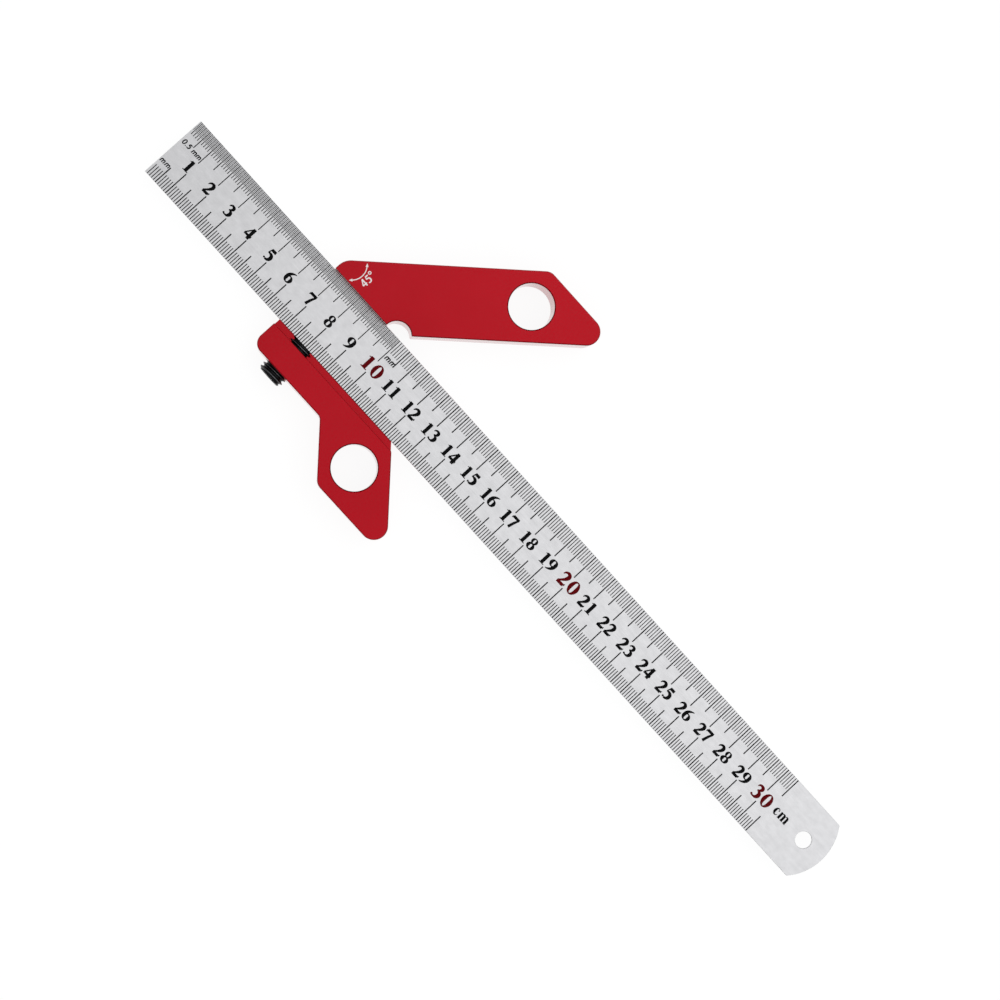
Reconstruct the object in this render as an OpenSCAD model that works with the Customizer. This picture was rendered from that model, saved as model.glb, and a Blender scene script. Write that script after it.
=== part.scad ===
// Center scribing ruler: a V-shaped frame that sits against a round or a square corner,
// a steel rule whose scribing edge halves the V, and a set screw that clamps the rule.
// Millimetres, +Z up. The origin is at the middle of the rule's length, on the line of its
// scribing edge, on the plane that the frame rests on. +X runs along the rule, away from its zero.

/* [Rule] */
// Overall length of the steel rule
rule_length = 331; // [322:1:360]
// Width of the rule
rule_width = 25.4; // [22:0.2:27]
// Thickness of the rule
rule_thick = 1; // [0.6:0.1:1.4]
// Radius of the rule's rounded end
rule_end_radius = 20; // [14:0.5:22]
// Diameter of the hang hole in the rounded end
hang_hole_d = 6; // [4:0.5:8]
// Distance of the hang hole's centre from the rounded end
hang_hole_inset = 9.6; // [8:0.2:14]
// Distance from the rule's zero end to the corner of the V
zero_to_corner = 98; // [60:1:140]

/* [Frame] */
// Thickness of the frame
plate_thick = 13; // [12.5:0.5:16]
// Width of each arm
arm_width = 24.7; // [22:0.1:27]
// Distance from the scribing edge to the cut ends of the arms
arm_reach = 54; // [50:0.5:60]
// Length of the frame's square end on the upper side of the scribing edge
end_land = 4.1; // [3.4:0.1:8]
// Thickness of the clamping block beside the channel
block_wall = 9.9; // [8:0.1:13]
// Diameter of the hole in each arm
arm_hole_d = 16; // [8:0.5:18]
// Distance of each arm's hole from the cut end of its arm
arm_hole_inset = 13.1; // [12:0.1:18]
// Diameter of the relief at the corner of the V
relief_d = 10; // [6:0.5:12]

/* [Corner rounding] */
// Radius of the sharp tips of the arms
tip_radius = 4.8; // [2:0.1:6]
// Radius of the blunt outer corners of the arms
heel_radius = 4; // [2:0.1:8]
// Radius where the square end meets the upper arm
shoulder_radius = 6.2; // [2:0.1:8]
// Radius of the clamping block's outer corner
block_radius = 3.8; // [2:0.1:6]
// Radius in the nook between the clamping block and the lower arm
nook_radius = 3; // [2:0.1:8]

/* [Channel] */
// Depth of the channel below the frame's top
channel_depth = 5; // [4.2:0.1:5.6]
// Space beside the rule that the set screw bridges
side_gap = 2.5; // [1.6:0.1:3]

/* [Set screw] */
// Thread diameter of the set screw
screw_d = 10; // [8:0.5:10.5]
// Thread pitch
screw_pitch = 1.5; // [1:0.05:1.75]
// Length of the set screw
screw_length = 16; // [14:0.5:22]
// Distance of the set screw from the frame's square end
screw_from_end = 11.9; // [8:0.1:16]
// Distance of the set screw's axis below the middle of the rule's thickness
screw_drop = 2.5; // [2:0.1:2.8]
// Width of the hexagon socket across its flats
socket_width = 5; // [4:0.1:5.5]
// Depth of the hexagon socket
socket_depth = 6; // [4:0.5:8]
// Radial clearance of the thread's crests in the frame's bore
screw_clearance = 0.05; // [0.02:0.01:0.1]

/* [Hidden] */
$fn = 96;

// Overlap that carries a cut clear through a face
overcut = 1;
// Each rounding arc runs this far past the edges that it joins, so that it crosses them cleanly
arc_lap = 0.002;

// Place of the corner of the V, measured from the middle of the rule
corner_x = zero_to_corner - rule_length / 2;
// Height of the channel's floor, on which the rule lies
floor_z = plate_thick - channel_depth;
channel_width = rule_width + side_gap;
// Distance from the scribing edge to the outside of the clamping block
block_reach = channel_width + block_wall;
// Distance along the scribing edge between an arm's inner and outer edges, which run at 45 degrees
arm_slant = arm_width * sqrt(2);
// Distance from the corner of the V to the square end of the frame
back_length = arm_slant - end_land;
// Middle of an arm's hole, half way across the arm, measured from the corner of the V
arm_hole_y = arm_reach - arm_hole_inset;
arm_hole_x = arm_hole_y - arm_slant / 2;

// Axis of the set screw, measured from the corner of the V
screw_x = screw_from_end - back_length;
screw_z = floor_z + rule_thick / 2 - screw_drop;
// Length of the bore past the rule's edge, so that the screw's tip never meets its end
bore_run_out = 1.2;
bore_length = bore_run_out + side_gap + block_wall;

// Metric thread: its depth, crest and root as parts of the pitch
thread_depth_ratio = 0.6134;
crest_ratio = 1 / 8;
root_ratio = 1 / 4;
thread_depth = thread_depth_ratio * screw_pitch;
crest_width = crest_ratio * screw_pitch;
root_width = root_ratio * screw_pitch;
flank_width = (screw_pitch - crest_width - root_width) / 2;
thread_turns = ceil(screw_length / screw_pitch) + 1;
// The chamfers at the ends of the screw reach this far below the thread's roots
chamfer_past_root = 0.1;
end_chamfer = thread_depth + chamfer_past_root;

// Nook between the block and the lower arm: the arc's middle and the points where it touches both edges
nook = [block_reach - arm_slant, -block_reach];
turn_at_nook = 45;
nook_run = nook_radius * tan(turn_at_nook / 2);
nook_start = nook - [nook_run, 0];
nook_middle = nook_start - [0, nook_radius];
nook_end = nook + [nook_run, -nook_run] / sqrt(2);

// The frame's outline, counterclockwise from the corner of the V: each point and the radius that rounds it
outline = [
    [[0, 0], 0],
    [[arm_reach, arm_reach], tip_radius],
    [[arm_reach - arm_slant, arm_reach], heel_radius],
    [[-back_length, arm_slant - back_length], shoulder_radius],
    [[-back_length, -block_reach], block_radius],
    [nook_start, 0],
    [nook_middle, 0],
    [nook_end, 0],
    [[arm_reach - arm_slant, -arm_reach], heel_radius],
    [[arm_reach, -arm_reach], tip_radius],
];

function unit(v) = v / norm(v);
function outline_point(i) = outline[i % len(outline)][0];

// The waste of one corner: the patch between its two edges and an arc that touches both
module corner_waste(before, corner, after, radius) {
    to_before = unit(before - corner);
    to_after = unit(after - corner);
    half_angle = acos(to_before * to_after) / 2;
    run = radius / tan(half_angle);
    centre = corner + unit(to_before + to_after) * (radius - arc_lap) / sin(half_angle);
    past_corner = corner + (corner - centre) / 2;
    difference() {
        polygon([corner + to_before * run, past_corner, corner + to_after * run, centre]);
        translate(centre) circle(radius);
    }
}

module frame_outline() {
    difference() {
        polygon([for (corner = outline) corner[0]]);
        for (i = [1 : len(outline) - 1])
            if (outline[i][1] > 0)
                corner_waste(outline_point(i - 1), outline_point(i), outline_point(i + 1), outline[i][1]);
        translate(nook_middle) circle(nook_radius + arc_lap);
        circle(d = relief_d);
        for (side = [-1, 1])
            translate([arm_hole_x, side * arm_hole_y]) circle(d = arm_hole_d);
    }
}

// Moves a shape drawn from the corner of the V to its place
module at_corner() {
    translate([corner_x, 0, 0]) children();
}

// Places a shape drawn along +Z so that it starts at the rule's edge and points out of the block
module on_screw_axis() {
    at_corner() translate([screw_x, -rule_width, screw_z]) rotate([90, 0, 0]) children();
}

// One machined plate: both arms, the clamping block, the channel and the bore for the set screw
module frame() {
    color("firebrick") difference() {
        at_corner() linear_extrude(plate_thick) frame_outline();
        at_corner() translate([-back_length - overcut, -channel_width, floor_z])
            cube([back_length + arm_reach + 2 * overcut, channel_width, channel_depth + overcut]);
        on_screw_axis() translate([0, 0, -bore_run_out])
            cylinder(h = bore_length + overcut, d = screw_d + 2 * screw_clearance);
    }
}

module rule_outline() {
    straight = rule_length - rule_end_radius;
    difference() {
        intersection() {
            square([rule_length, rule_width]);
            union() {
                square([straight, rule_width]);
                translate([straight, rule_width / 2]) circle(rule_end_radius);
            }
        }
        translate([rule_length - hang_hole_inset, rule_width / 2]) circle(d = hang_hole_d);
    }
}

// The steel rule: square at its zero, rounded at the other end, with its scribing edge at y = 0
module rule() {
    color("gainsboro") translate([-rule_length / 2, -rule_width, floor_z])
        linear_extrude(rule_thick) rule_outline();
}

// Ridges of the screw's thread as a stack of rings, each one pitch high
module thread_rings() {
    crest = screw_d / 2;
    root = crest - thread_depth;
    rotate_extrude() polygon(concat(
        [[0, 0]],
        [for (turn = [0 : thread_turns - 1]) let (z = turn * screw_pitch) each [
            [root, z],
            [root, z + root_width],
            [crest, z + root_width + flank_width],
            [crest, z + root_width + flank_width + crest_width],
        ]],
        [[root, thread_turns * screw_pitch], [0, thread_turns * screw_pitch]]
    ));
}

// The blank of the screw: a rod with both ends chamfered below the thread's roots
module screw_blank() {
    r = screw_d / 2;
    rotate_extrude() polygon([
        [0, 0],
        [r - end_chamfer, 0],
        [r, end_chamfer],
        [r, screw_length - end_chamfer],
        [r - end_chamfer, screw_length],
        [0, screw_length],
    ]);
}

// Headless set screw with a hexagon socket in its outer end
module set_screw() {
    color("dimgray") on_screw_axis() difference() {
        intersection() {
            screw_blank();
            thread_rings();
        }
        translate([0, 0, screw_length - socket_depth])
            cylinder(h = socket_depth + overcut, d = socket_width / cos(30), $fn = 6);
    }
}

frame();
rule();
set_screw();
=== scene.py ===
"""Looks of the center scribing ruler: a red anodised frame, a steel rule with filled marks and a set screw.

Sizes in the classes are millimetres in the part's frame. The origin is at the middle of the rule's length, on
the line of its scribing edge, and on the plane that the frame rests on. +X runs along the rule away from its
zero, +Y points to the arm with the angle mark, and +Z comes out of the marked face.
"""
import logging
import math
from dataclasses import dataclass
from enum import Enum

import bmesh
import bpy
import numpy as np
from mathutils import Matrix, Vector


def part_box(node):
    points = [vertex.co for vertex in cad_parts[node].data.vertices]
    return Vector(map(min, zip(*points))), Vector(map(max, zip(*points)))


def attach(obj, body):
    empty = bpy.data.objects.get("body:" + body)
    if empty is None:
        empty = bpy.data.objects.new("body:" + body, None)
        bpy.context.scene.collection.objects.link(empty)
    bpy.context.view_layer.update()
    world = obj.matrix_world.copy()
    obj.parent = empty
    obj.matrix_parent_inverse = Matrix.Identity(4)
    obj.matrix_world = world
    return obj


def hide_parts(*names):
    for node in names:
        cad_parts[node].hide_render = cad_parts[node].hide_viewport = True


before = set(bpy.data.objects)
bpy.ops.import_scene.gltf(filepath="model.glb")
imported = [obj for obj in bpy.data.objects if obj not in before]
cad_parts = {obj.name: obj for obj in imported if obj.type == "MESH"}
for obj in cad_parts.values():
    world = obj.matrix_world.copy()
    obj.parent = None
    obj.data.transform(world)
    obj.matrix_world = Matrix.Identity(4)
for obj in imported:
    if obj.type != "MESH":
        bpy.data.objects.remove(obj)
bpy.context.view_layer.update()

log = logging.getLogger("center_scribing_ruler")

# Metres in a millimetre: the scene is in metres
MM = 0.001
# Millimetres in a centimetre, and in half of one
CM = 10
HALF_CM = 5

# Places that several pieces share, from the CAD boxes
RULE_LOW, RULE_HIGH = np.array(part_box("rule")) / MM
FRAME_LOW, FRAME_HIGH = np.array(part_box("frame")) / MM
SCREW_LOW, SCREW_HIGH = np.array(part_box("set_screw")) / MM
# The set screw's radius, and the x and z of its axis, which runs along y
SCREW_RADIUS = (SCREW_HIGH[0] - SCREW_LOW[0]) / 2
SCREW_X = (SCREW_LOW[0] + SCREW_HIGH[0]) / 2
SCREW_Z = (SCREW_LOW[2] + SCREW_HIGH[2]) / 2


class Body(Enum):
    """The CAD bodies that pieces ride on."""

    FRAME = "frame"
    RULE = "rule"
    SET_SCREW = "set_screw"


# Colours, nodes and meshes

def linear(colour: str) -> tuple[float, float, float, float]:
    """Turns an sRGB colour into the linear one that shaders take.

    Args:
        colour: Six hex digits after a hash sign.

    Returns:
        Red, green, blue and an alpha of 1.
    """
    srgb = np.array([int(colour[i:i + 2], 16) for i in (1, 3, 5)]) / 255
    rgb = np.where(srgb <= 0.04045, srgb / 12.92, ((srgb + 0.055) / 1.055) ** 2.4)
    return (*rgb.tolist(), 1.0)


def add_node(
    tree: bpy.types.NodeTree,
    kind: str,
    settings: dict[str | int, object] | None = None,
    links: dict[str | int, bpy.types.NodeSocket] | None = None,
) -> bpy.types.Node:
    """Adds one node with its settings and links.

    Args:
        tree: The node tree of a material or of the world.
        kind: Blender's name for the type of node.
        settings: Values by the name of a field of the node, or by the name or place of an input.
        links: Output sockets by the name or place of the input that each one feeds.

    Returns:
        The new node.
    """
    node = tree.nodes.new(kind)
    for key, value in (settings or {}).items():
        if isinstance(key, str) and hasattr(node, key):
            setattr(node, key, value)
        else:
            node.inputs[key].default_value = value
    for key, socket in (links or {}).items():
        tree.links.new(socket, node.inputs[key])
    return node


def new_object(name: str, data: bpy.types.Mesh | bpy.types.Camera) -> bpy.types.Object:
    """Puts a mesh or a camera into the scene.

    Args:
        name: Name of the object.
        data: The mesh or camera.

    Returns:
        The object, at the origin.
    """
    thing = bpy.data.objects.new(name, data)
    bpy.context.scene.collection.objects.link(thing)
    return thing


def new_piece(name: str, vertices: np.ndarray, faces: list[list[int]]) -> bpy.types.Object:
    """Makes an object at the origin from points in millimetres.

    Args:
        name: Name of the piece.
        vertices: One row of x, y and z for each point.
        faces: The points of each face, counterclockwise from outside.

    Returns:
        The object.
    """
    mesh = bpy.data.meshes.new(name)
    mesh.from_pydata((vertices * MM).tolist(), [], faces)
    mesh.update()
    return new_object(name, mesh)


def faces_between(sections: int, corners: int, closed: bool) -> np.ndarray:
    """Works out the faces between sections of a skin, each a loop of the same number of points.

    Args:
        sections: How many sections there are.
        corners: How many points each has.
        closed: Whether the last section joins the first one.

    Returns:
        The points of each face: along one section and back along the next.
    """
    here = np.arange(sections if closed else sections - 1)[:, None] * corners
    there = (here + corners) % (sections * corners)
    corner = np.arange(corners)
    next_corner = np.roll(corner, -1)
    faces = np.stack((here + corner, here + next_corner, there + next_corner, there + corner), axis=2)
    return faces.reshape(-1, 4)


def shade(mesh: bpy.types.Mesh, sharp: float) -> None:
    """Shades a mesh smooth, apart from edges that turn by more than sharp degrees."""
    mesh.shade_smooth()
    mesh.set_sharp_from_angle(angle=math.radians(sharp))


def place_piece(piece: bpy.types.Object, finish: "Finish", body: Body, replaced: str = "") -> None:
    """Dresses a piece, makes it ride on its body, and reports it.

    Args:
        piece: The finished shape.
        finish: Its finish.
        body: The CAD body that it moves with. The record's material slot has the same name.
        replaced: The CAD node that it stands for, if any.
    """
    piece.data.materials.append(finish.material())
    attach(piece, body.value)
    if replaced:
        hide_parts(replaced)
    log.info("%s: %d faces, rides on %s", piece.name, len(piece.data.polygons), body.value)


@dataclass(frozen=True)
class BrokenEdges:
    """How the outer edges of a CAD node are broken, in millimetres.

    width is what the chamfer takes from each of its two faces. Edges that lie between the two values of
    fine_y and the two of fine_z are broken by fine_width instead. sharp is the least turn of a broken edge,
    in degrees. A chamfer halves the turn of its edge, so smooth, the most that two faces shaded as one may
    turn, is less than half of sharp.
    """

    width: float
    fine_y: tuple[float, float] = (1.0, -1.0)
    fine_z: tuple[float, float] = (1.0, -1.0)
    fine_width: float = 0.0
    sharp: float = 30.0
    smooth: float = 13.5

    def chosen(self, solid: bmesh.types.BMesh, fine: bool) -> list[bmesh.types.BMEdge]:
        """Finds the edges that point outwards and turn enough.

        Args:
            solid: The solid.
            fine: Whether to find those in the fine zone, or the rest.

        Returns:
            The edges.
        """
        # The fine chamfers themselves lie in the zone too
        spare = 2 * self.fine_width
        (low_y, high_y), (low_z, high_z) = self.fine_y, self.fine_z
        low = Vector((0, low_y - spare, low_z - spare)) * MM
        high = Vector((0, high_y + spare, high_z + spare)) * MM
        found = []
        for edge in solid.edges:
            turned = edge.is_manifold and edge.is_convex and edge.calc_face_angle() > math.radians(self.sharp)
            places = [corner.co for corner in edge.verts]
            inside = all(low.y <= place.y <= high.y and low.z <= place.z <= high.z for place in places)
            if turned and fine == inside:
                found.append(edge)
        return found

    def copy(self, node: str, name: str) -> bpy.types.Object:
        """Copies a CAD node into a solid of clean faces with broken edges.

        The node's loose triangles are merged, triangles in one plane are joined, and each chosen edge is cut.
        Inside corners stay sharp, so that what lies in them still fits.

        Args:
            node: The CAD node to copy.
            name: Name of the new piece.

        Returns:
            The new object.
        """
        merge_distance = 0.004 * MM
        flat = math.radians(0.4)
        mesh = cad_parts[node].data.copy()
        mesh.name = name
        mesh.materials.clear()
        solid = bmesh.new()
        solid.from_mesh(mesh)
        bmesh.ops.remove_doubles(solid, verts=solid.verts, dist=merge_distance)
        bmesh.ops.dissolve_limit(solid, angle_limit=flat, verts=solid.verts, edges=solid.edges)
        for fine, width in ((True, self.fine_width), (False, self.width)):
            edges = self.chosen(solid, fine)
            bmesh.ops.bevel(
                solid, geom=edges, offset=width * MM, segments=1, affect="EDGES", clamp_overlap=False
            )
            solid.normal_update()
        solid.to_mesh(mesh)
        solid.free()
        # The import's own normals belong to the old faces
        old_normals = mesh.attributes.get("custom_normal")
        if old_normals:
            mesh.attributes.remove(old_normals)
        shade(mesh, self.smooth)
        return new_object(name, mesh)


# Finishes

@dataclass(frozen=True)
class Finish:
    """What every finish shares: the name of the real material, its two colours and how it shines.

    uneven is how far the roughness goes below and above its middle value, relief is the height of the
    surface's grain in millimetres, and relief_shown is how much of that shows.
    """

    name: str
    colour: str
    metallic: float
    roughness: float
    second_colour: str
    uneven: tuple[float, float] = (0.0, 0.0)
    relief: float = 0.0
    relief_shown: float = 0.0

    # Noise stays mostly between these two values
    NOISE_LOW = 0.3
    NOISE_HIGH = 0.7

    def material(self) -> bpy.types.Material:
        """Builds the material: a shader with what is the same all over the surface, and then what varies.

        Returns:
            The material.
        """
        material = bpy.data.materials.new(self.name)
        material.use_nodes = True
        tree = material.node_tree
        tree.nodes.clear()
        shader = add_node(tree, "ShaderNodeBsdfPrincipled", {
            "Base Color": linear(self.colour),
            "Metallic": self.metallic,
            "Roughness": self.roughness,
        })
        add_node(tree, "ShaderNodeOutputMaterial", links={"Surface": shader.outputs["BSDF"]})
        self.dress(shader)
        return material

    def dress(self, shader: bpy.types.Node) -> None:
        """Gives the shader what each finish has of its own."""
        raise NotImplementedError

    def rough_range(self) -> tuple[float, float]:
        """The lowest and the highest roughness."""
        return self.roughness - self.uneven[0], self.roughness + self.uneven[1]

    def vary(
        self,
        shader: bpy.types.Node,
        size: tuple[float, float, float],
        ends: tuple[float, float] = (0.0, 1.0),
        detail: float = 2.0,
    ) -> tuple[bpy.types.NodeSocket, bpy.types.NodeSocket]:
        """Adds a noise pattern on the object's own coordinates.

        Args:
            shader: The material's shader.
            size: Size of the pattern's patches along x, y and z, in millimetres.
            ends: The values that the pattern runs between.
            detail: How many finer layers the noise has.

        Returns:
            The plain noise, and the pattern: the noise with its middle stretched between the two ends.
        """
        tree = shader.id_data
        place = add_node(tree, "ShaderNodeTexCoord").outputs["Object"]
        scale = [1 / (patch * MM) for patch in size]
        grid = add_node(tree, "ShaderNodeMapping", {"Scale": scale}, {"Vector": place}).outputs["Vector"]
        settings = {"Scale": 1.0, "Detail": detail}
        noise = add_node(tree, "ShaderNodeTexNoise", settings, {"Vector": grid}).outputs["Fac"]
        low, high = ends
        limits = {"From Min": self.NOISE_LOW, "From Max": self.NOISE_HIGH, "To Min": low, "To Max": high}
        return noise, add_node(tree, "ShaderNodeMapRange", limits, {"Value": noise}).outputs["Result"]

    def apply(
        self,
        shader: bpy.types.Node,
        share: bpy.types.NodeSocket,
        rough: bpy.types.NodeSocket | None = None,
        grain: bpy.types.NodeSocket | None = None,
    ) -> None:
        """Links the patterns to the shader: the mixed colours, the roughness and the relief.

        Args:
            shader: The material's shader.
            share: How much of the second colour there is, from 0 to 1.
            rough: The roughness, where it varies.
            grain: The pattern of the relief, where there is one.
        """
        tree = shader.id_data
        ramp = add_node(tree, "ShaderNodeValToRGB", links={"Fac": share})
        for element, colour in zip(ramp.color_ramp.elements, (self.colour, self.second_colour)):
            element.color = linear(colour)
        tree.links.new(ramp.outputs["Color"], shader.inputs["Base Color"])
        if rough is not None:
            tree.links.new(rough, shader.inputs["Roughness"])
        if grain is not None:
            settings = {"Distance": self.relief * MM, "Strength": self.relief_shown}
            bump = add_node(tree, "ShaderNodeBump", settings, {"Height": grain})
            tree.links.new(bump.outputs["Normal"], shader.inputs["Normal"])


@dataclass(frozen=True)
class RedAnodised(Finish):
    """Aluminium, bead blasted, dyed red and sealed: a satin metal with a faint clear skin.

    The blasting gives a fine even grain and soft reflections, the dye lies a little cloudy, and the sealed
    oxide pales towards the sky and the floor at low angles.
    """

    uneven: tuple[float, float] = (0.04, 0.04)
    relief: float = 0.02
    relief_shown: float = 0.25
    cloud: float = 26.0
    # Real bead marks are about 0.1 mm wide; these are as coarse as they need to be to show
    grain: float = 0.45
    coat: float = 1.0
    coat_roughness: float = 0.08
    # The sealed oxide is thin and porous, so it mirrors less than glass from straight above
    coat_ior: float = 1.2

    def dress(self, shader: bpy.types.Node) -> None:
        """Adds the clear skin, the clouds in the dye and the blasted grain.

        Args:
            shader: The material's shader.
        """
        shader.inputs["Coat Weight"].default_value = self.coat
        shader.inputs["Coat Roughness"].default_value = self.coat_roughness
        shader.inputs["Coat IOR"].default_value = self.coat_ior
        _, cloud = self.vary(shader, (self.cloud,) * 3)
        grain, rough = self.vary(shader, (self.grain,) * 3, self.rough_range())
        self.apply(shader, cloud, rough, grain)


@dataclass(frozen=True)
class SatinSteel(Finish):
    """Stainless steel strip, rolled and then satin ground along its length.

    Fine lengthwise scratches blur its reflections, and faint cloudy patches show where hands and cloths rub
    it.
    """

    uneven: tuple[float, float] = (0.06, 0.06)
    relief: float = 0.004
    relief_shown: float = 0.3
    # Real scratches are about 0.03 mm apart; these are as coarse as they need to be to show
    scratch: tuple[float, float, float] = (14.0, 0.22, 0.22)
    patch: tuple[float, float, float] = (3.2, 2.2, 2.2)
    patch_detail: float = 4.0

    def dress(self, shader: bpy.types.Node) -> None:
        """Adds the scratches and the patches.

        Args:
            shader: The material's shader.
        """
        scratch, rough = self.vary(shader, self.scratch, self.rough_range())
        _, patch = self.vary(shader, self.patch, detail=self.patch_detail)
        self.apply(shader, patch, rough, scratch)


@dataclass(frozen=True)
class BlackOxide(Finish):
    """Hardened steel, blackened in a hot salt bath and oiled: near black, with crests lightened by wear and a
    painted highlight.
    """

    uneven: tuple[float, float] = (0.06, 0.08)
    speck: float = 0.35
    # Least share of the lighter crest colour, part wear and part painted highlight, in its patches
    least_worn: float = 0.1

    def dress(self, shader: bpy.types.Node) -> None:
        """Adds the lighter crests, part wear and part a painted highlight, which are patchy, and the specks.

        Args:
            shader: The material's shader.
        """
        tree = shader.id_data
        size = (self.speck,) * 3
        _, patchy = self.vary(shader, size, (self.least_worn, 1.0))
        _, rough = self.vary(shader, size, self.rough_range())
        crest = add_node(tree, "ShaderNodeAttribute", {"attribute_name": SetScrew.CREST}).outputs["Fac"]
        # The crests are lighter: part bare steel where they wear, part a painted highlight
        crest_wear_and_highlight = add_node(tree, "ShaderNodeMath", {"operation": "MULTIPLY"}, {0: crest, 1: patchy})
        self.apply(shader, crest_wear_and_highlight.outputs["Value"], rough)


@dataclass(frozen=True)
class FilledMark(Finish):
    """Enamel paint wiped into etched lines, or printed ink: matt, and a little thin in places."""

    speck: float = 0.5
    # A rough, chalky skin mirrors far less than the smooth paint that the shader starts from
    gloss: float = 0.04

    def dress(self, shader: bpy.types.Node) -> None:
        """Dulls the paint and adds the thin places.

        Args:
            shader: The material's shader.
        """
        shader.inputs["Specular IOR Level"].default_value = self.gloss
        _, thin = self.vary(shader, (self.speck,) * 3)
        self.apply(shader, thin)


# Lettering

def spline(knots: np.ndarray, closed: bool, steps: int = 6) -> np.ndarray:
    """Draws a smooth line through knots.

    Each span between two knots is the Catmull-Rom cubic: it meets both knots, and its slope at a knot is half
    the step between the knots on either side. The pen's width runs along in the same way as x and y.

    Args:
        knots: One row of x, y and pen width for each knot.
        closed: Whether the line returns to its first knot.
        steps: Points in each span.

    Returns:
        One row of x, y and pen width for each point of the line.
    """
    if len(knots) == 2:
        return knots
    if closed:
        before, after, after_next = np.roll(knots, 1, 0), np.roll(knots, -1, 0), np.roll(knots, -2, 0)
        here = knots
    else:
        longer = np.vstack((2 * knots[0] - knots[1], knots, 2 * knots[-1] - knots[-2]))
        before, here, after, after_next = longer[:-3], longer[1:-2], longer[2:-1], longer[3:]
    t = (np.arange(steps) / steps)[:, None]
    spans = (
        2 * here[:, None]
        + (after - before)[:, None] * t
        + (2 * before - 5 * here + 4 * after - after_next)[:, None] * t**2
        + (3 * here - before - 3 * after + after_next)[:, None] * t**3
    ) / 2
    line = spans.reshape(-1, 3)
    return line if closed else np.vstack((line, knots[-1]))


@dataclass(frozen=True)
class Stroke:
    """One stroke of a broad pen: knots of x, y and pen width, in heights of a figure."""

    knots: tuple[tuple[float, float, float], ...]
    closed: bool = False

    def line(self) -> np.ndarray:
        """The stroke's line, one row of x, y and pen width for each point."""
        return spline(np.array(self.knots), self.closed)

    def half_turned(self, height: float) -> "Stroke":
        """The stroke turned by half a turn about the middle of a figure of the given height."""
        return Stroke(tuple((-x, height - y, width) for x, y, width in self.knots), self.closed)

    def moved(self, across: float) -> "Stroke":
        """The stroke moved sideways."""
        return Stroke(tuple((x + across, y, width) for x, y, width in self.knots), self.closed)


def ring(x: float, y: float, half_width: float, half_height: float, side: float, top: float) -> Stroke:
    """Draws a closed loop: an ellipse with eight knots, whose pen is widest at its sides.

    The pen's width is that at the top plus the difference between side and top times the squared cosine of
    the angle round the loop.

    Args:
        x: Middle of the loop.
        y: Height of its middle.
        half_width: Half the width of the pen's line.
        half_height: Half the height of the pen's line.
        side: Width of the pen at the sides.
        top: Width of the pen at the top and the foot.

    Returns:
        The stroke.
    """
    count = 8
    turn = np.arange(count) * math.tau / count
    width = top + (side - top) * np.cos(turn) ** 2
    knots = np.column_stack((x + half_width * np.cos(turn), y + half_height * np.sin(turn), width))
    return Stroke(tuple(map(tuple, knots.tolist())), closed=True)


def spot(x: float, y: float, radius: float) -> Stroke:
    """Draws a round spot: a short upright stroke whose pen is as wide as the circle at each height.

    Args:
        x: Middle of the spot.
        y: Height of its middle.
        radius: Radius of the spot.

    Returns:
        The stroke.
    """
    # Labels draw with a pen about this many times wider than the knots say
    usual_weight = 1.5
    # The stroke ends just short of the circle's top and foot, where its pen would have no width
    last_turn = 84
    count = 7
    rise = np.sin(np.radians(np.linspace(-last_turn, last_turn, count)))
    width = 2 * radius * np.sqrt(1 - rise**2) / usual_weight
    knots = np.column_stack((np.full(count, x), y + radius * rise, width))
    return Stroke(tuple(map(tuple, knots.tolist())))


# Bold figures with thick and thin strokes and small feet, drawn about x = 0 and nearly 1 high
FIGURE_HEIGHT = 0.98
SIX = (
    Stroke((
        (0.26, 0.965, 0.035), (0.1, 0.9, 0.085), (-0.08, 0.75, 0.145), (-0.19, 0.54, 0.185),
        (-0.205, 0.3, 0.19),
    )),
    ring(0, 0.295, 0.205, 0.265, 0.19, 0.06),
)
LETTER_M = (
    Stroke(((-0.34, 0, 0.1), (-0.34, 0.66, 0.1))),
    Stroke((
        (-0.34, 0.44, 0.09), (-0.27, 0.59, 0.1), (-0.15, 0.64, 0.1), (-0.04, 0.58, 0.1), (0, 0.42, 0.1),
        (0, 0.2, 0.1), (0, 0, 0.1),
    )),
)
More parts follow.
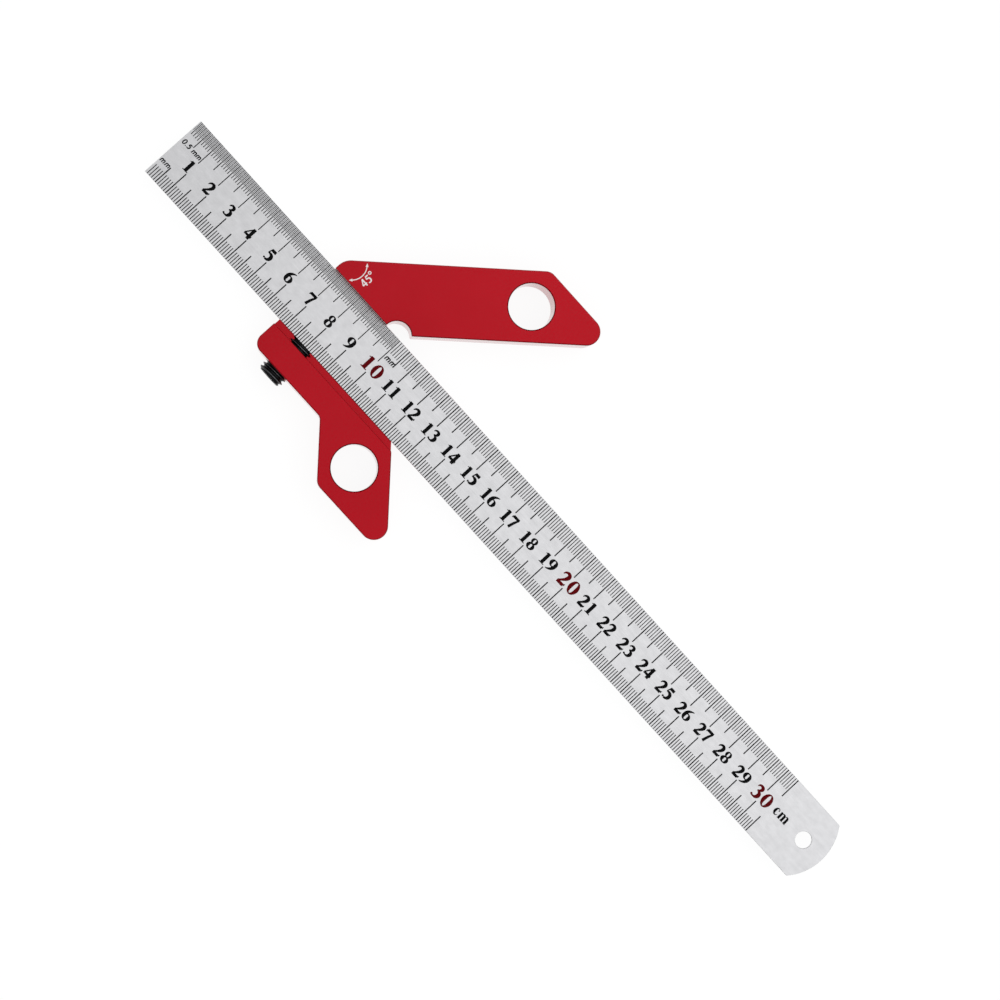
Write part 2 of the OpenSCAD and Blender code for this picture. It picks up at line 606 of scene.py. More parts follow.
# One arch of the bold letter, which springs from the stem before it and ends in a stem of its own
BOLD_ARCH = Stroke((
    (0, 0.4, 0.03), (0.09, 0.53, 0.045), (0.2, 0.575, 0.09), (0.3, 0.52, 0.14), (0.33, 0.38, 0.155),
    (0.33, 0.2, 0.155), (0.33, 0, 0.155),
))
BOLD_FOOT = Stroke(((-0.13, 0.02, 0.035), (0.13, 0.02, 0.035)))
FIGURES: dict[str, tuple[Stroke, ...]] = {
    "0": (ring(0, 0.49, 0.225, 0.465, 0.19, 0.06),),
    "1": (
        Stroke(((0.03, 0, 0.19), (0.03, 0.985, 0.19))),
        Stroke(((-0.2, 0.025, 0.05), (0.26, 0.025, 0.05))),
        Stroke(((0.06, 0.945, 0.08), (-0.09, 0.885, 0.06), (-0.21, 0.845, 0.03))),
    ),
    "2": (
        Stroke((
            (-0.27, 0.68, 0.04), (-0.2, 0.83, 0.09), (-0.05, 0.92, 0.13), (0.1, 0.87, 0.17),
            (0.155, 0.72, 0.2), (0.09, 0.52, 0.16), (-0.06, 0.31, 0.11), (-0.25, 0.1, 0.08),
        )),
        Stroke(((-0.28, 0.075, 0.15), (0.21, 0.075, 0.15))),
        Stroke(((0.2, 0.09, 0.12), (0.255, 0.16, 0.07), (0.285, 0.235, 0.03))),
    ),
    "3": (
        Stroke((
            (-0.25, 0.76, 0.04), (-0.17, 0.88, 0.09), (-0.04, 0.93, 0.12), (0.1, 0.87, 0.16),
            (0.125, 0.745, 0.17), (0.05, 0.61, 0.11), (-0.09, 0.545, 0.05),
        )),
        Stroke((
            (-0.09, 0.55, 0.05), (0.06, 0.51, 0.11), (0.175, 0.4, 0.18), (0.185, 0.25, 0.195),
            (0.1, 0.1, 0.15), (-0.04, 0.04, 0.08), (-0.16, 0.05, 0.08),
        )),
        spot(-0.205, 0.085, 0.08),
    ),
    "4": (
        Stroke(((0.13, 0, 0.18), (0.13, 0.985, 0.18))),
        Stroke(((0.09, 0.94, 0.075), (-0.275, 0.3, 0.075))),
        Stroke(((-0.31, 0.275, 0.13), (0.31, 0.275, 0.13))),
    ),
    "5": (
        Stroke(((-0.14, 0.9, 0.16), (0.24, 0.9, 0.16))),
        Stroke(((-0.115, 0.97, 0.06), (-0.215, 0.56, 0.06))),
        Stroke((
            (-0.215, 0.575, 0.06), (-0.07, 0.605, 0.12), (0.1, 0.545, 0.17), (0.185, 0.4, 0.2),
            (0.165, 0.21, 0.19), (0.04, 0.075, 0.13), (-0.12, 0.045, 0.09),
        )),
        spot(-0.195, 0.085, 0.08),
    ),
    "6": SIX,
    "7": (
        Stroke(((-0.27, 0.9, 0.15), (0.28, 0.9, 0.15))),
        Stroke(((-0.255, 0.93, 0.08), (-0.3, 0.84, 0.06), (-0.315, 0.73, 0.03))),
        Stroke(((0.24, 0.9, 0.09), (0.1, 0.55, 0.135), (-0.03, 0, 0.16))),
    ),
    "8": (ring(0, 0.735, 0.165, 0.215, 0.15, 0.06), ring(0, 0.265, 0.2, 0.235, 0.185, 0.06)),
    "9": tuple(stroke.half_turned(FIGURE_HEIGHT) for stroke in SIX),
    "m": LETTER_M + (LETTER_M[1].moved(0.34),),
    "bold m": (
        Stroke(((-0.33, 0, 0.155), (-0.33, 0.61, 0.155))),
        Stroke(((-0.33, 0.595, 0.045), (-0.46, 0.575, 0.035))),
        BOLD_ARCH.moved(-0.33),
        BOLD_ARCH,
        BOLD_FOOT.moved(-0.33),
        BOLD_FOOT,
        BOLD_FOOT.moved(0.33),
    ),
    "bold c": (
        Stroke((
            (0.14, 0.49, 0.05), (0.1, 0.575, 0.045), (0, 0.6, 0.06), (-0.12, 0.52, 0.12),
            (-0.17, 0.32, 0.165), (-0.13, 0.13, 0.135), (-0.01, 0.03, 0.085), (0.11, 0.055, 0.055),
            (0.2, 0.15, 0.03),
        )),
        spot(0.125, 0.475, 0.06),
    ),
    ".": (spot(0, 0.07, 0.07),),
    "\N{DEGREE SIGN}": (ring(0, 0.92, 0.16, 0.16, 0.06, 0.06),),
    " ": (),
}
# Room that each letter takes along its line, in heights; the figures all take the same
FIGURE_ROOM = 0.74
ROOM = {"m": 0.98, "bold m": 0.98, "bold c": 0.54, ".": 0.34, "\N{DEGREE SIGN}": 0.44, " ": 0.36}


@dataclass(frozen=True)
class Label:
    """A number or word at one place on a flat face.

    text is a word, or the names of its letters one by one. weight scales the pen, wide stretches the letters
    across, contrast 0 makes the pen even, room stretches the space between letters, and slant leans them.
    reading is the direction in which the label is read.
    """

    text: str | tuple[str, ...]
    middle: tuple[float, float]
    height: float
    weight: float = 1.0
    wide: float = 1.0
    contrast: float = 1.0
    room: float = 1.0
    slant: float = 0.0
    reading: tuple[float, float] = (1.0, 0.0)

    EVEN_PEN = 0.11

    def lines(self) -> list[tuple[np.ndarray, bool]]:
        """Draws the label's strokes in place.

        Returns:
            For each stroke its line, as rows of x, y and pen width in millimetres, and whether it is closed.
        """
        rooms = [ROOM.get(letter, FIGURE_ROOM) * self.room for letter in self.text]
        starts = np.concatenate(([0], np.cumsum(rooms)))
        middles = (starts[:-1] + starts[1:]) / 2 - starts[-1] / 2
        along = np.array(self.reading)
        up = np.array((-along[1], along[0]))
        drawn = []
        for letter, across in zip(self.text, middles):
            for stroke in FIGURES[letter]:
                line = stroke.line()
                y = line[:, 1] - FIGURE_HEIGHT / 2
                x = self.wide * line[:, 0] + across + self.slant * y
                pen = self.weight * (self.EVEN_PEN + (line[:, 2] - self.EVEN_PEN) * self.contrast)
                flat = np.array(self.middle) + self.height * (x[:, None] * along + y[:, None] * up)
                drawn.append((np.column_stack((flat, self.height * pen)), stroke.closed))
        return drawn


class FlatMarks:
    """Gathers thin closed slabs that stand on a flat face, and makes one piece of them."""

    # The slabs start a little inside the face, and end a hair above it
    SUNK = 0.01
    PROUD = 0.01
    # Each stroke of a label is this much higher than the one before, so that no two tops lie in one plane
    STEP = 0.0015

    def __init__(self, face: float) -> None:
        """Starts an empty set.

        Args:
            face: Height of the face, in millimetres.
        """
        self.low = face - self.SUNK
        self.high = face + self.PROUD
        self.vertices: list[np.ndarray] = []
        self.faces: list[np.ndarray] = []
        self.count = 0

    def add_stroke(self, line: np.ndarray, closed: bool, place_in_label: int = 0) -> None:
        """Adds one pen stroke: a flat rectangle carried along the pen's line.

        The rectangle's two sides lie half a pen width to the left and right of the line, square to its
        direction.

        Args:
            line: One row of x, y and pen width for each point.
            closed: Whether the line returns to its first point.
            place_in_label: How many strokes of the same label come before this one.
        """
        place, pen = line[:, :2], line[:, 2:]
        if closed:
            ahead = np.roll(place, -1, 0) - np.roll(place, 1, 0)
        else:
            ahead = np.gradient(place, axis=0)
        ahead /= np.linalg.norm(ahead, axis=1, keepdims=True)
        left = np.column_stack((-ahead[:, 1], ahead[:, 0])) * pen / 2
        count = len(line)
        low = np.full((count, 1), self.low)
        high = np.full((count, 1), self.high + place_in_label * self.STEP)
        sections = np.stack((
            np.hstack((place + left, low)),
            np.hstack((place - left, low)),
            np.hstack((place - left, high)),
            np.hstack((place + left, high)),
        ), axis=1)
        corners = sections.shape[1]
        # Each face is turned over, because these sections run the other way round
        faces = faces_between(count, corners, closed)[:, [0, 3, 2, 1]]
        if not closed:
            cap = np.arange(corners)
            faces = np.vstack((faces, cap, corners * (count - 1) + cap[::-1]))
        self.vertices.append(sections.reshape(-1, 3))
        self.faces.append(faces + self.count)
        self.count += corners * count

    def add_labels(self, labels: list[Label]) -> None:
        """Adds every stroke of the labels.

        Args:
            labels: The labels.
        """
        for label in labels:
            for place, (line, closed) in enumerate(label.lines()):
                self.add_stroke(line, closed, place)

    def piece(self, name: str) -> bpy.types.Object:
        """Makes one object of all that was added."""
        return new_piece(name, np.vstack(self.vertices), np.vstack(self.faces).tolist())


# The object

@dataclass(frozen=True)
class MetricThread:
    """The set screw's thread: its pitch, depth and start, and the shares of the pitch that are flat."""

    pitch: float = 1.5
    depth: float = 0.92
    start: float = 0.18
    crest_share: float = 1 / 8
    root_share: float = 1 / 4

    def flank_share(self) -> float:
        """The share of the pitch that each sloping flank takes."""
        return (1 - self.crest_share - self.root_share) / 2

    def wave(self, along: np.ndarray, turn: np.ndarray) -> np.ndarray:
        """How far the thread stands above its root, from 0 to 1.

        It is a trapezium wave whose phase is the distance from the thread's start over the pitch, less the
        turn over a whole turn.

        Args:
            along: Distances along the axis, in millimetres.
            turn: Angles round the axis, in radians.

        Returns:
            One value for each pair of distance and angle.
        """
        phase = ((along - self.start) / self.pitch - turn / math.tau) % 1
        from_crest = np.abs(phase - 0.5)
        return np.clip(((1 - self.root_share) / 2 - from_crest) / self.flank_share(), 0, 1)


SCREW_THREAD = MetricThread()
# Edges of the threads that turn by more than this are shaded sharp, in degrees
THREAD_SHARP = 32
# Columns of points round the screw's axis, and rows of points along one pitch
COLUMNS = 96
ROWS_IN_PITCH = 20


def round_axis(radius: np.ndarray, along: np.ndarray, turn: np.ndarray) -> np.ndarray:
    """Works out points round the screw's axis.

    A point's x and z are those of the axis plus the radius times the cosine and the sine of its turn.

    Args:
        radius: Distances from the axis.
        along: Distances from the rule's edge, out towards the socket.
        turn: Angles round the axis, in radians.

    Returns:
        One row of x, y and z for each point.
    """
    x = SCREW_X + radius * np.cos(turn)
    y = np.broadcast_to(SCREW_HIGH[1] - along, x.shape)
    z = SCREW_Z + radius * np.sin(turn)
    return np.stack((x, y, z), axis=-1).reshape(-1, 3)


@dataclass
class TappedHole:
    """The thread tapped in the frame: whole turns in the block, and lower parts of turns in the channel.

    Each is a sleeve that lines the plain bore and reaches into the solid around it. It clears the screw's
    flanks and roots by flank_room and the screw's crests by crest_room.
    """

    flank_room: float = 0.08
    crest_room: float = 0.04
    # How far the sleeves reach into the solid
    skin: float = 0.2
    # The sleeve in the channel ends just below the channel's floor, and begins past the end of the bore
    below_floor: float = 0.003
    run_out: float = 1.3
    # The sleeve in the block begins and ends past the broken edges of the bore
    inner_edge: float = 0.15
    outer_edge: float = 0.4
    # Hairline between the two sleeves
    parting: float = 0.005
    # How often the angle at which a sleeve meets the floor is worked out again
    rounds: int = 6

    def build(self, inner_wall: float, outer_wall: float) -> bpy.types.Object:
        """Builds both sleeves as one piece.

        Args:
            inner_wall: Distance from the rule's edge to the block's wall in the channel.
            outer_wall: Distance from the rule's edge to the outside of the block.

        Returns:
            The piece.
        """
        block_start = inner_wall + self.inner_edge
        floor = RULE_LOW[2] - self.below_floor - SCREW_Z
        turn = np.linspace(0, math.tau, COLUMNS, endpoint=False)
        in_block, block_faces = self.sleeve(block_start, outer_wall - self.outer_edge, turn)
        share = np.linspace(0, 1, COLUMNS)
        in_floor, floor_faces = self.sleeve(
            -self.run_out, block_start - self.parting, share, floor, len(in_block)
        )
        piece = new_piece("tapped_thread", np.vstack((in_block, in_floor)), block_faces + floor_faces)
        shade(piece.data, THREAD_SHARP)
        return piece

    def bore(self, along: np.ndarray, turn: np.ndarray) -> np.ndarray:
        """The radius of the hole: that of the screw's thread and its room, up to the crest's and its room."""
        thread = SCREW_RADIUS - SCREW_THREAD.depth * (1 - SCREW_THREAD.wave(along, turn))
        return np.minimum(thread + self.flank_room, SCREW_RADIUS + self.crest_room)

    def sleeve(
        self, start: float, end: float, columns: np.ndarray, floor: float | None = None, first: int = 0
    ) -> tuple[np.ndarray, list[list[int]]]:
        """Works out one sleeve: a profile along the hole, carried round the screw's axis.

        The profile is the tapped hole's radius on rows from start to end, then two outer corners. Without a
        floor it goes the whole way round. With one it starts and ends at the floor, where a radius r meets it
        at the angle whose sine is the floor's height over r. That angle is found by repeating this, because r
        depends on the angle too.

        Args:
            start: Distance of the first row from the rule's edge.
            end: Distance of the last row.
            columns: Angles round the axis, or with a floor shares of the way from its one side to the other.
            floor: Height of the floor above the axis, if there is one.
            first: How many points of the piece come before this sleeve.

        Returns:
            The points, and the faces between them.
        """
        rows = 1 + round((end - start) / SCREW_THREAD.pitch * ROWS_IN_PITCH)
        along = np.linspace(start, end, rows)
        outer = SCREW_RADIUS + self.crest_room + self.skin
        if floor is None:
            turn = np.tile(columns[:, None], rows + 2)
        else:
            at_outer = math.asin(floor / outer)
            right = left = np.full(rows, at_outer)
            for _ in range(self.rounds):
                right = np.arcsin(floor / self.bore(along, right))
                left = np.arcsin(floor / self.bore(along, math.pi - left))
            right = np.append(right, (at_outer, at_outer))
            left = np.append(left, (at_outer, at_outer))
            turn = math.pi - left + columns[:, None] * (math.pi + left + right)
        radius = np.full(turn.shape, outer)
        radius[:, :rows] = self.bore(along, turn[:, :rows])
        points = round_axis(radius, np.append(along, (end, start)), turn)
        faces = (first + faces_between(len(columns), rows + 2, floor is None)).tolist()
        if floor is not None:
            cap = first + np.arange(rows + 2)
            faces += [cap[::-1].tolist(), (len(points) - len(cap) + cap).tolist()]
        return points, faces


@dataclass
class VFrame:
    """The machined plate: two arms, the clamping block and the channel."""

    edge_break: float = 0.35
    channel_edge_break: float = 0.12
    # Space beside the rule in the channel, and thickness of the block beside it
    channel_gap: float = 2.5
    block_wall: float = 9.9
    finish: RedAnodised = RedAnodised("red anodised aluminium", "#AB081A", 1.0, 0.32, "#A50616")
    ink: FilledMark = FilledMark("white ink", "#FCFAF9", 0.0, 0.6, "#F2E9E9")
    # Middle and size of the angle mark's arc, measured from the frame's square end and the scribing edge
    arc_inset: float = 2.9
    arc_middle: float = 4.85
    arc_radius: float = 5.2
    arc_half_angle: float = 40.0
    arc_pen: float = 0.35
    arc_points: int = 13
    arrow_length: float = 1.2
    arrow_width: float = 1.0
    arrow_tip: float = 0.02
    words_inset: float = 10.2
    words_middle: float = 5.4
    words_height: float = 2.85
    words_weight: float = 1.3
    words_contrast: float = 0.35

    def build(self) -> None:
        """Builds the plate, the thread in it and the angle mark on it."""
        across = (RULE_LOW[1] - self.channel_gap, RULE_HIGH[1])
        upwards = (RULE_LOW[2], FRAME_HIGH[2])
        edges = BrokenEdges(self.edge_break, across, upwards, self.channel_edge_break)
        place_piece(edges.copy("frame", "v_frame"), self.finish, Body.FRAME, "frame")
        thread = TappedHole().build(self.channel_gap, self.channel_gap + self.block_wall)
        place_piece(thread, self.finish, Body.FRAME)
        place_piece(self.angle_mark(), self.ink, Body.FRAME)

    def angle_mark(self) -> bpy.types.Object:
        """Builds the printed mark of half a right angle: an arc with two arrowheads, and its words.

        The arc is part of a circle about a point to the left of it. Each arrowhead is a stroke that narrows
        from its full width to a point along the arc's direction at its end.

        Returns:
            The piece.
        """
        marks = FlatMarks(FRAME_HIGH[2])
        centre = np.array((FRAME_LOW[0] + self.arc_inset, self.arc_middle))
        turn = np.radians(np.linspace(-self.arc_half_angle, self.arc_half_angle, self.arc_points))
        outwards = np.column_stack((np.cos(turn), np.sin(turn)))
        line = centre + self.arc_radius * outwards
        marks.add_stroke(np.column_stack((line, np.full(len(line), self.arc_pen))), False)
        for place, (end, way) in enumerate(((0, -1), (-1, 1)), start=1):
            ahead = way * np.array((-outwards[end, 1], outwards[end, 0]))
            head = np.vstack((line[end], line[end] + self.arrow_length * ahead))
            marks.add_stroke(np.column_stack((head, (self.arrow_width, self.arrow_tip))), False, place)
        words = Label(
            "45\N{DEGREE SIGN}",
            (FRAME_LOW[0] + self.words_inset, self.words_middle),
            self.words_height,
            self.words_weight,
            contrast=self.words_contrast,
            reading=(0.0, 1.0),
        )
        marks.add_labels([words])
        return marks.piece("angle_mark")


@dataclass
class SteelRule:
    """The sliding rule: the strip, its two graduated edges, its figures and its words."""

    edge_break: float = 0.08
    steel: SatinSteel = SatinSteel("satin stainless steel", "#D8D8DA", 1.0, 0.36, "#CECED0")
    black: FilledMark = FilledMark("black enamel", "#050506", 0.0, 0.5, "#111113")
    red: FilledMark = FilledMark("dark red enamel", "#5C0007", 0.0, 0.5, "#69060C")
    # Graduation: last mark, end of the half millimetre marks, and widths and lengths of the marks
    last_mark: int = 305
    fine_end: int = 100
    pen: float = 0.31
    long_pen: float = 0.42
    upper_pen: float = 0.28
    fine_pen: float = 0.19
    fine_long_pen: float = 0.34
    lower_lengths: tuple[float, float, float] = (4.5, 7.25, 9.6)
    upper_lengths: tuple[float, float, float] = (5.4, 8.0, 10.4)
    fine_length: float = 3.9
    # Figures: heights, and how far their middle lies below the rule's middle
    last_figure: int = 30
    red_every: int = 10
    figure_height: float = 4.45
    red_height: float = 5.15
    figure_drop: float = 0.55
    red_drop: float = 0.3
    figure_weight: float = 1.5
    figure_wide: float = 1.12
    # A single figure stands before its mark, the 1 by the first of these and the 9 by the second
    single_shifts: tuple[float, float] = (1.36, 0.8)
    red_shift: float = 0.28
    pair_room: float = 1.06
    red_room: float = 1.19
    # Words: distance past zero or past a mark, distance from the edge or from the middle, height and room
    half_word: tuple[float, float, float, float] = (5.2, 8.7, 1.85, 1.15)
    lower_word: tuple[float, float, float, float] = (2.55, 7.1, 1.85, 1.25)
    upper_word: tuple[float, float, float, float] = (3.0, 7.1, 2.05, 1.18)
    end_word: tuple[float, float, float, float] = (4.8, 0.6, 4.3, 1.0)
    word_weight: float = 2.0
    word_wide: float = 1.2
    word_contrast: float = 0.2
    word_slant: float = 0.15
    end_word_weight: float = 1.36

    def build(self) -> None:
        """Builds the strip, its marks, its black figures and words, and its red figures."""
        strip = BrokenEdges(self.edge_break).copy("rule", "steel_rule")
        place_piece(strip, self.steel, Body.RULE, "rule")
        ticks, figures, red_figures = (FlatMarks(RULE_HIGH[2]) for _ in range(3))
        self.add_ticks(ticks)
        place_piece(ticks.piece("rule_ticks"), self.black, Body.RULE)
        figures.add_labels(self.numbers(False) + self.words())
        place_piece(figures.piece("rule_figures"), self.black, Body.RULE)
        red_figures.add_labels(self.numbers(True))
        place_piece(red_figures.piece("rule_red_figures"), self.red, Body.RULE)

    def lengths(self, marks: np.ndarray, lengths: tuple[float, float, float]) -> np.ndarray:
        """The length of the mark at each millimetre: short, longer at 5 and longest at 10."""
        short, five, ten = lengths
        return np.where(marks % CM == 0, ten, np.where(marks % HALF_CM == 0, five, short))

    def add_ticks(self, ticks: FlatMarks) -> None:
        """Adds the marks of both edges, each a stroke from just inside the edge towards the middle.

        Args:
            ticks: What they are added to.
        """
        whole = np.arange(1, self.last_mark + 1)
        halves = np.arange(self.fine_end) + 0.5
        lower_pens = np.where(whole % HALF_CM == 0, self.long_pen, self.pen)
        upper_long_pens = np.where(whole > self.fine_end, self.long_pen, self.fine_long_pen)
        upper_pens = np.where(whole % HALF_CM == 0, upper_long_pens, self.upper_pen)
        fine_pens = np.full(len(halves), self.fine_pen)
        fine_lengths = np.full(len(halves), self.fine_length)
        edges = (
            (whole, lower_pens, self.lengths(whole, self.lower_lengths), RULE_LOW[1], 1),
            (whole, upper_pens, self.lengths(whole, self.upper_lengths), RULE_HIGH[1], -1),
            (halves, fine_pens, fine_lengths, RULE_HIGH[1], -1),
        )
        for marks, pens, lengths, edge, inwards in edges:
            start = edge + inwards * self.edge_break
            ends = edge + inwards * lengths
            for x, end, pen in zip(RULE_LOW[0] + marks, ends, pens):
                ticks.add_stroke(np.array([[x, start, pen], [x, end, pen]]), False)

    def numbers(self, red: bool) -> list[Label]:
        """Places the numbers of the centimetres.

        Args:
            red: Whether to give the red tens, or the black rest.

        Returns:
            The labels.
        """
        middle = (RULE_LOW[1] + RULE_HIGH[1]) / 2
        bold = {"weight": self.figure_weight, "wide": self.figure_wide}
        labels = []
        for number in range(1, self.last_figure + 1):
            if (number % self.red_every == 0) != red:
                continue
            if red:
                shift, drop, height, room = self.red_shift, self.red_drop, self.red_height, self.red_room
            else:
                shift = -np.interp(number, (1, 9, 10), (*self.single_shifts, 0))
                drop, height, room = self.figure_drop, self.figure_height, self.pair_room
            place = (RULE_LOW[0] + CM * number + shift, middle - drop)
            labels.append(Label(str(number), place, height, room=room, **bold))
        return labels

    def words(self) -> list[Label]:
        """Places the units beside the graduations.

        Returns:
            The labels.
        """
        zero, low, high = RULE_LOW[0], RULE_LOW[1], RULE_HIGH[1]
        fine_end = zero + self.fine_end
        last_mark = zero + self.last_mark
        small = {
            "weight": self.word_weight,
            "wide": self.word_wide,
            "contrast": self.word_contrast,
            "slant": self.word_slant,
        }
        bold = {"weight": self.end_word_weight}
        labels = []
        for text, start, edge, inwards, (past, apart, height, room), looks in (
            ("0.5 mm", zero, high, -1, self.half_word, small),
            ("mm", zero, low, 1, self.lower_word, small),
            ("mm", fine_end, high, -1, self.upper_word, small),
            (("bold c", "bold m"), last_mark, (low + high) / 2, 1, self.end_word, bold),
        ):
            labels.append(Label(text, (start + past, edge + inwards * apart), height, room=room, **looks))
        return labels


@dataclass
class SetScrew:
    """The headless set screw: a helical thread, chamfered ends, a cup point and a hexagon socket.

    Its axis runs along y, from the point at the rule's edge out to the socket.
    """

    # Name of the mesh attribute that is 1 on the thread's crests, which are lighter from wear and a painted
    # highlight
    CREST = "crest"

    end_chamfer: float = 1.02
    socket_width: float = 5.0
    socket_depth: float = 6.0
    socket_lead: float = 0.3
    cup_radius: float = 2.6
    cup_depth: float = 0.8
    # The crests' lighter colour, part wear and part painted highlight, falls off from them by this power of
    # the thread's wave
    wear_power: int = 4
    # The second colour lightens the crests: part bare steel where they wear, part a painted highlight
    finish: BlackOxide = BlackOxide("black oxide steel", "#262628", 1.0, 0.34, "#7A7A7E")

    def build(self) -> None:
        """Builds the screw in place of its CAD node: its skin, closed by a pole at each end."""
        turn = np.arange(COLUMNS) * math.tau / COLUMNS
        radius, along, crest = self.surface(turn)
        skin = round_axis(radius, along, turn)
        poles = round_axis(np.zeros(2), np.array((along[0, 0] + self.cup_depth, along[-1, 0])), np.zeros(2))
        here = np.arange(COLUMNS)
        there = np.roll(here, -1)
        first_pole = np.full(COLUMNS, len(skin))
        last_row = len(skin) - COLUMNS
        fans = np.vstack((
            np.column_stack((first_pole, there, here)),
            np.column_stack((first_pole + 1, last_row + here, last_row + there)),
        ))
        faces = faces_between(len(radius), COLUMNS, False).tolist() + fans.tolist()
        piece = new_piece("clamp_screw", np.vstack((skin, poles)), faces)
        shade(piece.data, THREAD_SHARP)
        layer = piece.data.attributes.new(self.CREST, "FLOAT", "POINT")
        layer.data.foreach_set("value", np.append(crest, (0, 0)).astype(np.float32))
        place_piece(piece, self.finish, Body.SET_SCREW, "set_screw")

    def surface(self, turn: np.ndarray) -> tuple[np.ndarray, np.ndarray, np.ndarray]:
        """Works out the whole skin on a grid of rows along the screw and columns round it.

        The rows run from the cup point out over the end, along the thread, in over the socket's end, and down
        the socket. On the thread the radius is the root plus the thread's depth times the thread's wave. It
        never passes the cones of the two chamfers. In the socket the radius is that of a hexagon: half its
        width over the cosine of the angle from the nearest flat's middle.

        Args:
            turn: The angle of each column, in radians.

        Returns:
            Radius, distance from the point's end, and share of crest, each one value for a grid point.
        """
        ones = np.ones(COLUMNS)
        length = SCREW_HIGH[1] - SCREW_LOW[1]
        root = SCREW_RADIUS - SCREW_THREAD.depth
        rows = 1 + round(length / SCREW_THREAD.pitch * ROWS_IN_PITCH)
        along = np.linspace(0, length, rows)[:, None] * ones
        wave = SCREW_THREAD.wave(along, turn)
        cone = SCREW_RADIUS - self.end_chamfer + np.minimum(along, length - along)
        radius = np.minimum(root + SCREW_THREAD.depth * wave, cone)
        # Share of the crests' lighter colour, part wear and part painted highlight
        crest = np.where(cone > SCREW_RADIUS, wave**self.wear_power, 0)
        half_flat = math.pi / 6
        flat_turn = (turn + half_flat) % (2 * half_flat) - half_flat
        hexagon = self.socket_width / 2 / np.cos(flat_turn)
        lead = self.socket_width / 2 / math.cos(half_flat) + self.socket_lead
        socket = ((lead, length), (hexagon, length - self.socket_lead), (hexagon, length - self.socket_depth))
        radius = np.vstack([self.cup_radius * ones, radius] + [across * ones for across, _ in socket])
        along = np.vstack([0 * ones, along] + [place * ones for _, place in socket])
        crest = np.vstack([0 * ones, crest] + [0 * ones] * len(socket))
        return radius, along, crest


# The studio

@dataclass
class PictureCamera:
    """A camera that stands nearly above the rule and looks down on it, with the rule from corner to corner.

    place is in millimetres; right and up are the directions of the picture's sides.
    """

    place: tuple[float, float, float] = (-52.31, -68.63, 788.46)
    right: tuple[float, float, float] = (0.67098, 0.7351, 0.09703)
    up: tuple[float, float, float] = (-0.73873, 0.674, 0.00225)
    lens: float = 82.36
    sensor: float = 36.0
    nearest: float = 10.0

    def build(self) -> None:
        """Makes the camera and gives it to the scene."""
        data = bpy.data.cameras.new("picture_camera")
        data.lens = self.lens
        data.sensor_width = self.sensor
        data.clip_start = self.nearest * MM
        camera = new_object("picture_camera", data)
        right, up = Vector(self.right), Vector(self.up)
        turn = Matrix((right, up, right.cross(up))).transposed()
        camera.matrix_world = Matrix.Translation(Vector(self.place) * MM) @ turn.to_4x4()
        bpy.context.scene.camera = camera
        log.info("camera: %.0f mm lens", self.lens)


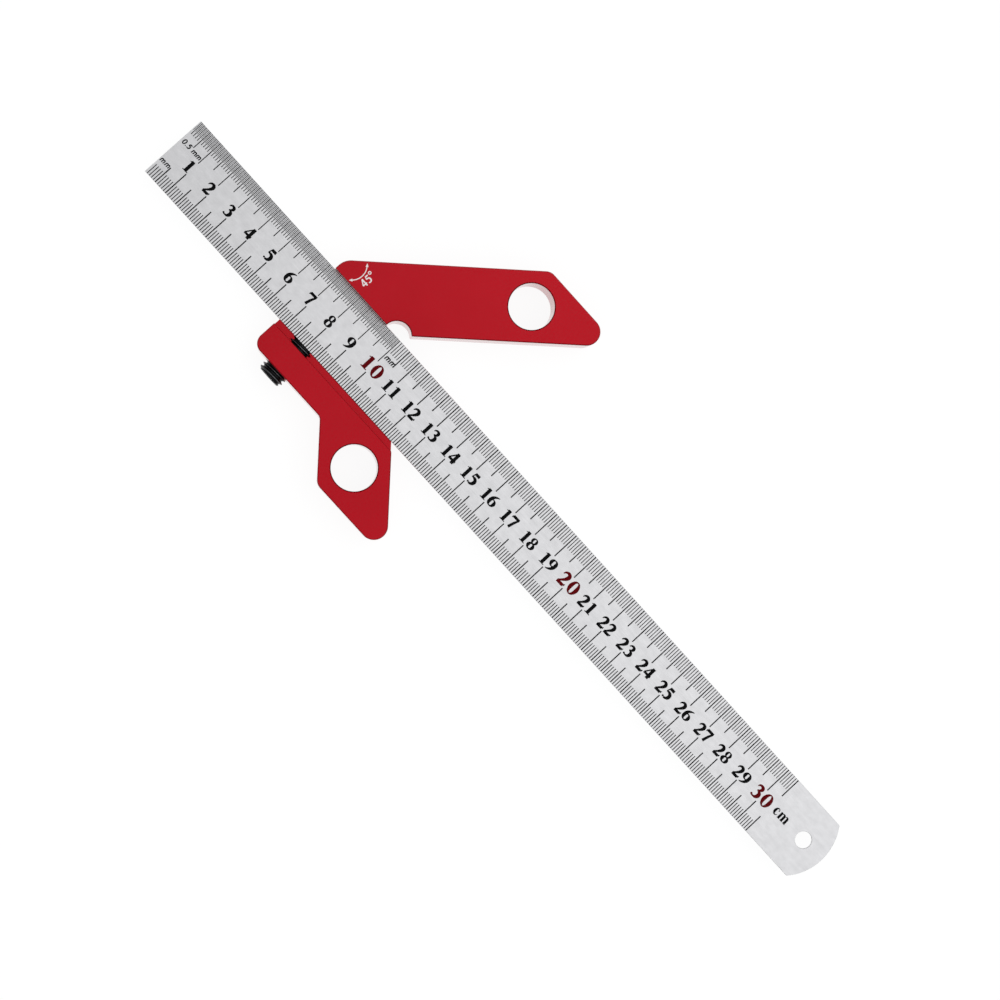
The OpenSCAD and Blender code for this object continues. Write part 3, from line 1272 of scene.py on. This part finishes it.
@dataclass
class Studio:
    """A white table in a pale room, under a big soft lamp.

    Heights in the sky and places of the lamp's edges are parts of a direction of length 1.
    """

    floor_drop: float = 0.1
    floor_half: float = 12000.0
    floor_glow: float = 0.92
    floor_lit: float = 0.12
    floor_colour: str = "#EDEDED"
    # The room is dim at the horizon and even from this height upwards
    horizon: float = 0.25
    room: float = 0.46
    room_from: float = 0.45
    # The lamp begins and is full at these heights, ends softly on its -X side, and is weaker on its -Y side
    lamp: float = 0.96
    lamp_height: tuple[float, float] = (0.3, 0.7)
    lamp_x: tuple[float, float] = (-0.35, -0.05)
    lamp_y: tuple[float, float] = (-0.1, 0.22)
    weak_side: float = 0.5

    def build(self) -> None:
        """Builds the floor and the sky, and sets the plain view."""
        self.floor()
        self.sky()
        bpy.context.scene.view_settings.view_transform = "Standard"

    def floor(self) -> None:
        """Lays the white floor, which shows as white and keeps a faint shadow.

        What the camera and reflections see is part glow and part lit paint. Other light meets plain white
        paint.
        """
        half = self.floor_half
        corners = np.array([[-half, -half], [half, -half], [half, half], [-half, half]])
        floor = new_piece("floor", np.column_stack((corners, np.full(4, -self.floor_drop))), [[0, 1, 2, 3]])
        material = bpy.data.materials.new("white table")
        material.use_nodes = True
        tree = material.node_tree
        tree.nodes.clear()
        ray = add_node(tree, "ShaderNodeLightPath")
        seen = ray.outputs["Is Camera Ray"]
        for kind in ("Is Glossy Ray", "Is Transmission Ray"):
            links = {0: seen, 1: ray.outputs[kind]}
            seen = add_node(tree, "ShaderNodeMath", {"operation": "MAXIMUM"}, links).outputs["Value"]
        glow = add_node(tree, "ShaderNodeEmission", {"Strength": self.floor_glow})
        lit = add_node(tree, "ShaderNodeBsdfDiffuse", {"Color": (self.floor_lit,) * 3 + (1,)})
        shown = add_node(tree, "ShaderNodeAddShader", links={0: glow.outputs[0], 1: lit.outputs[0]})
        paint = add_node(tree, "ShaderNodeBsdfDiffuse", {"Color": linear(self.floor_colour)})
        mixed = add_node(
            tree, "ShaderNodeMixShader", links={0: seen, 1: paint.outputs[0], 2: shown.outputs[0]}
        )
        add_node(tree, "ShaderNodeOutputMaterial", links={"Surface": mixed.outputs[0]})
        floor.data.materials.append(material)
        log.info("floor: %.0f m across", 2 * half * MM)

    def sky(self) -> None:
        """Makes the soft light: the room's level, plus the lamp's level times the slopes of its two sides.

        The camera itself sees plain white behind the table.
        """
        world = bpy.data.worlds.new("soft_studio")
        bpy.context.scene.world = world
        world.use_nodes = True
        tree = world.node_tree
        tree.nodes.clear()
        way = add_node(tree, "ShaderNodeTexCoord").outputs["Generated"]
        parts = add_node(tree, "ShaderNodeSeparateXYZ", links={"Vector": way})
        ramps = []
        for part, (start, full), (low, high) in (
            ("Z", (0.0, self.room_from), (self.horizon, self.room)),
            ("Z", self.lamp_height, (0.0, self.lamp)),
            ("X", self.lamp_x, (0.0, 1.0)),
            ("Y", self.lamp_y, (self.weak_side, 1.0)),
        ):
            ramp = add_node(tree, "ShaderNodeMapRange", {
                "interpolation_type": "SMOOTHSTEP",
                "From Min": start,
                "From Max": full,
                "To Min": low,
                "To Max": high,
            }, {"Value": parts.outputs[part]})
            ramps.append(ramp.outputs["Result"])
        room, lamp, *edges = ramps
        for edge in edges:
            links = {0: lamp, 1: edge}
            lamp = add_node(tree, "ShaderNodeMath", {"operation": "MULTIPLY"}, links).outputs["Value"]
        level = add_node(tree, "ShaderNodeMath", {"operation": "ADD"}, {0: room, 1: lamp}).outputs["Value"]
        ray = add_node(tree, "ShaderNodeLightPath").outputs["Is Camera Ray"]
        shown = add_node(tree, "ShaderNodeMapRange", {"To Max": 1.0}, {"Value": ray, "To Min": level})
        white = {"Color": linear("#FFFFFF")}
        light = add_node(tree, "ShaderNodeBackground", white, {"Strength": shown.outputs["Result"]})
        add_node(tree, "ShaderNodeOutputWorld", links={"Surface": light.outputs[0]})
        log.info("sky: room %.2f, lamp %.2f", self.room, self.lamp)


def main() -> None:
    """Builds the camera, the studio and the object."""
    logging.basicConfig(level=logging.INFO, format="%(name)s: %(message)s")
    PictureCamera().build()
    Studio().build()
    VFrame().build()
    SteelRule().build()
    SetScrew().build()


if __name__ == "__main__":
    main()
